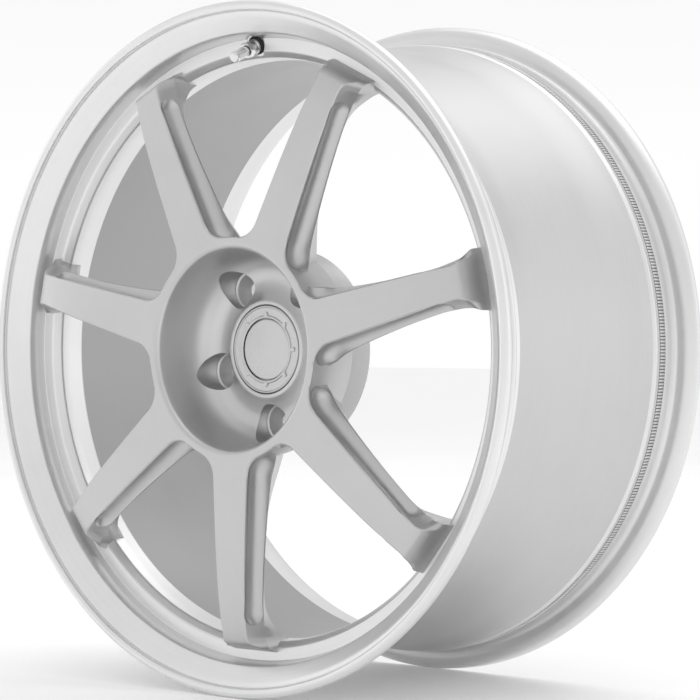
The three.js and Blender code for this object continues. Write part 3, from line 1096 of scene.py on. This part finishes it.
@dataclass
class Valve:
    """The tyre valve; sizes run along its own axis from its outer seat towards the cap."""

    segments: int = 64
    wall: float = 9.5
    seat_radius: float = 230.5
    seat_depth: float = 28.0
    across_corners: float = 12.7
    bore: float = 4.2
    hole_radius: float = 5.65
    thread_pitch: float = 0.8
    thread_from: float = 15.4
    thread_to: float = 25.2
    cap_side_radius: float = 4.05
    flute_depth: float = 0.22

    def place(self) -> Matrix:
        """Turns the valve's own Z axis into its place in the lip."""
        axis = next(j["axis"] for j in frame["joints"] if j["name"] == "valve_cap_unscrew")
        outward = Vector(axis).normalized()
        turn = Vector((0, 0, 1)).rotation_difference(outward).to_matrix().to_4x4()
        seat = Vector((0, self.seat_depth - CROWN_TO_CENTRE, self.seat_radius)) * MM
        return Matrix.Translation(seat) @ turn

    def ring(self, name: str, corners: Sequence[Corner]) -> bpy.types.Object:
        """Turns a small part on the valve's axis and puts it in place.

        Args:
            name: the piece's name.
            corners: its outline, closed on itself.

        Returns:
            The piece.
        """
        piece = turned(name, rounded(corners, 4), self.segments, place=own_axis_point)
        piece.matrix_world = self.place()
        return piece

    def seat_cutter(self, face_radius: float) -> bpy.types.Object:
        """The stepped hole through the lip, with a flat face for the seals.

        Args:
            face_radius: radius of the flat faces.

        Returns:
            The solid to remove.
        """
        outline = [
            (0, 18), (face_radius, 18), (face_radius, 0), (self.hole_radius, 0),
            (self.hole_radius, -self.wall), (face_radius, -self.wall),
            (face_radius, -22), (0, -22),
        ]
        cutter = turned("valve_seat", outline, self.segments, place=own_axis_point)
        cutter.data.transform(self.place())
        return cutter

    def nut(self) -> bpy.types.Object:
        """The hexagon nut, with rounded shoulders on both faces."""
        corner = self.across_corners / 2
        rings = []
        steps = 72
        for along, limit in ((9.3, 5.6), (9.9, corner), (13.4, corner), (14.0, 5.6)):
            ring = []
            for i in range(steps):
                angle = 2 * math.pi * i / steps
                inside = (angle % (math.pi / 3)) - math.pi / 6
                flat = corner * math.cos(math.pi / 6) / math.cos(inside)
                out = min(flat, limit)
                ring.append(own_axis_point(out * math.cos(angle), along, out * math.sin(angle)))
            rings.append(ring)
        nut = lofted("valve_hex_nut", rings)
        hole_outline = [(0, 5), (self.bore, 5), (self.bore, 20), (0, 20)]
        hole = turned("hole", hole_outline, steps, place=own_axis_point)
        combine(nut, Cut.REMOVE, [hole])
        nut.matrix_world = self.place()
        return nut

    def stem_corners(self) -> list[Corner]:
        """Outline of the stem, with the thread that the nut and the cap turn on."""
        head = -self.wall - 2.3
        corners: list[Corner] = [
            (2.3, head - 2.5, 0), (7.6, head - 2.5, 0.4), (8.4, head - 1.7, 0.4),
            (8.4, head, 0.3), (3.9, head, 0), (3.9, 14.4, 0.2), (3.4, 15, 0.1),
        ]
        turns = int((self.thread_to - self.thread_from) / self.thread_pitch)
        for i in range(turns):
            start = self.thread_from + i * self.thread_pitch
            corners += [(3.4, start, 0.05), (3.15, start + self.thread_pitch / 2, 0.05)]
        return corners + [(3.4, 25.5, 0.2), (2.3, 25.5, 0)]

    def cap(self) -> bpy.types.Object:
        """The screw cap, with fine flutes along its side."""
        corners: list[Corner] = [
            (0, 29, 0), (3.4, 29, 0.5), (4.4, 28, 0.5), (4.4, 26.0, 0.2),
            (self.cap_side_radius, 25.6, 0.1), (self.cap_side_radius, 22.5, 0),
            (self.cap_side_radius, 19.0, 0), (self.cap_side_radius, 16.4, 0.1),
            (4.3, 16.0, 0.1), (4.3, 15.4, 0.1), (3.7, 15.4, 0), (3.7, 27.3, 0),
            (0, 27.3, 0),
        ]
        outline = rounded(corners, 3)
        side = {i for i, (radius, _) in enumerate(outline) if abs(radius - self.cap_side_radius) < 0.01}

        def flutes(step: int, point: int) -> float:
            """Depth of the grip flutes on the cap's side, and none on its ends."""
            wave = 0.5 + 0.5 * math.cos(math.pi * step / 2)
            return -self.flute_depth * wave if point in side else 0.0

        cap = turned("valve_screw_cap", outline, 96, place=own_axis_point, ripple=flutes)
        cap.matrix_world = self.place()
        return cap

    def build(self) -> list[bpy.types.Object]:
        """Builds and dresses the valve's outer parts and gives the inner ones their finish.

        Returns:
            The finished pieces.
        """
        bore = self.bore
        seal = self.ring(
            "valve_seal_ring",
            [(bore, 0.3, 0), (7.0, 0.3, 0.6), (7.4, 1.2, 0.6), (7.0, 2.1, 0.6), (bore, 2.1, 0)],
        )
        collar = self.ring(
            "valve_seat_collar",
            [
                (bore, 2.4, 0),
                (5.9, 2.4, 0.2),
                (5.9, 4.2, 0.3),
                (5.2, 5.2, 0.4),
                (5.2, 9, 0.3),
                (bore, 9, 0),
            ],
        )
        grommet = self.ring(
            "valve_inner_grommet",
            [
                (bore, -self.wall - 2, 0), (8.2, -self.wall - 2, 0.5),
                (8.6, -self.wall - 1.2, 0.5), (8.4, -self.wall - 0.3, 0.3),
                (5.35, -self.wall - 0.3, 0), (5.35, -0.6, 0.3), (bore, -0.6, 0),
            ],
        )
        stem = self.ring("valve_threaded_stem", self.stem_corners())
        nut, cap = self.nut(), self.cap()
        parts = (
            (seal, RUBBER, "wheel", "valve_outer_seal"),
            (collar, STEM_FINISH, "wheel", "valve_collar"),
            (grommet, RUBBER, "wheel", "valve_grommet"),
            (stem, STEM_FINISH, "wheel", "valve_stem"),
            (nut, PLATED_FINISH, "wheel", "valve_nut"),
            (cap, PLATED_FINISH, "valve_dust_cap", "valve_cap"),
        )
        for piece, finish, body, node in parts:
            smooth(piece, 35.0)
            dress(piece, finish, body, [node])
        self.dress_core()
        return [piece for piece, *_ in parts]

    def dress_core(self) -> None:
        """Gives the carried-over parts inside the valve their finishes."""
        finishes = {
            "valve_core_body": BRASS_FINISH,
            "valve_core_pin": BRASS_FINISH,
            "valve_core_spring": WIRE_FINISH,
            "valve_cap_seal": RUBBER,
        }
        for node, finish in finishes.items():
            piece = frame["nodes"][node]
            piece.data.materials.clear()
            piece.data.materials.append(bpy.data.materials.get(finish.name) or finish.material())


# ---------------------------------------------------------------- studio


@dataclass(frozen=True)
class Softbox:
    """A large soft lamp."""

    name: str
    place: Point
    size: tuple[float, float]
    power: float

    def build(self, target: Point) -> None:
        """Hangs the lamp and points it.

        Args:
            target: the point that it shines at.
        """
        lamp = bpy.data.lights.new(self.name, "AREA")
        lamp.shape = "RECTANGLE"
        lamp.size, lamp.size_y = self.size
        lamp.energy = self.power
        holder = bpy.data.objects.new(self.name, lamp)
        holder.location = self.place
        aim = Vector(target) - Vector(self.place)
        holder.rotation_euler = aim.to_track_quat("-Z", "Y").to_euler()
        bpy.context.scene.collection.objects.link(holder)


@dataclass
class Studio:
    """Pale floor, soft light all round and the camera."""

    lens: float = 135.0
    floor_colour: Colour = (0.93, 0.93, 0.93)
    floor_half_width: float = 14.0
    floor_thickness: float = 0.02
    floor_gap: float = 0.0002
    camera_place: Point = (1.3549, -1.54695, 0.0131)
    camera_aim: Point = (-0.65484, 0.75574, -0.0068)

    def floor(self) -> None:
        """A wide pale floor under the wheel."""
        low = CAD_BOUNDS[0].z
        half = self.floor_half_width
        corners = ((-half, -half), (half, -half), (half, half), (-half, half))
        levels = (low - self.floor_thickness, low - self.floor_gap)
        rings = [[(x, y, level) for x, y in corners] for level in levels]
        ground = lofted("floor", rings)
        sheet = NodeSheet("pale_floor")
        place = sheet.add("ShaderNodeTexCoord", {}).outputs["Object"]
        tone = sheet.spread(sheet.noise(place, 3.0, 3.0), 0.965, 1.0)
        sheet.feed(sheet.shader.inputs["Base Color"], sheet.tinted(self.floor_colour, tone))
        sheet.feed(sheet.shader.inputs["Roughness"], 0.8)
        sheet.feed(sheet.shader.inputs["Emission Color"], (1.0, 1.0, 1.0, 1.0))
        sheet.feed(sheet.shader.inputs["Emission Strength"], 0.12)
        ground.data.materials.append(sheet.material)

    def surroundings(self) -> None:
        """Soft light from all round, strongest at the horizon and weakest from below."""
        world = bpy.data.worlds.new("studio")
        bpy.context.scene.world = world
        world.use_nodes = True
        tree = world.node_tree
        back = tree.nodes["Background"]
        place = tree.nodes.new("ShaderNodeTexCoord")
        split = tree.nodes.new("ShaderNodeSeparateXYZ")
        ramp = tree.nodes.new("ShaderNodeValToRGB")
        level = tree.nodes.new("ShaderNodeMapRange")
        level.inputs[1].default_value = -1.0
        level.inputs[2].default_value = 1.0
        tree.links.new(place.outputs["Generated"], split.inputs[0])
        tree.links.new(split.outputs[2], level.inputs[0])
        tree.links.new(level.outputs[0], ramp.inputs[0])
        tree.links.new(ramp.outputs[0], back.inputs[0])
        bands = ramp.color_ramp.elements
        tones = ((0.0, 0.35), (0.47, 1.0), (0.53, 1.0), (0.68, 0.8), (1.0, 0.9))
        while len(bands) < len(tones):
            bands.new(0.5)
        for band, (position, tone) in zip(bands, tones):
            band.position = position
            band.color = (tone, tone, tone, 1)
        back.inputs[1].default_value = 1.0

    def camera(self) -> None:
        """The camera, level with the wheel's axis and round to one side."""
        data = bpy.data.cameras.new("camera")
        data.lens = self.lens
        data.sensor_width = 36.0
        data.clip_start = 0.05
        data.clip_end = 60.0
        eye = bpy.data.objects.new("camera", data)
        eye.location = self.camera_place
        eye.rotation_euler = Vector(self.camera_aim).to_track_quat("-Z", "Y").to_euler()
        bpy.context.scene.collection.objects.link(eye)
        bpy.context.scene.camera = eye

    def build(self) -> None:
        """Sets up the floor, the light and the camera."""
        self.floor()
        self.surroundings()
        lamps = (
            Softbox("top_softbox", (0.3, 0.9, 2.6), (3.0, 3.0), 24.0),
            Softbox("left_softbox", (-2.6, -0.7, 0.5), (1.6, 2.2), 5.0),
            Softbox("right_softbox", (2.3, 2.1, 0.9), (1.4, 2.2), 3.5),
        )
        for lamp in lamps:
            lamp.build((0, 0, 0))
        self.camera()
        view = bpy.context.scene.view_settings
        view.view_transform = "Standard"
        view.look = "None"


def main() -> None:
    """Builds the wheel's parts in order, then the studio round them."""
    valve = Valve()
    pieces = Rim().build(valve)
    pieces += WheelCentre().build()
    pieces += CentreCap().build()
    pieces += valve.build()
    Studio().build()
    log.info("%d pieces", len(pieces))


if __name__ == "__main__":
    logging.basicConfig(level=logging.INFO, format="%(name)s: %(message)s")
    main()
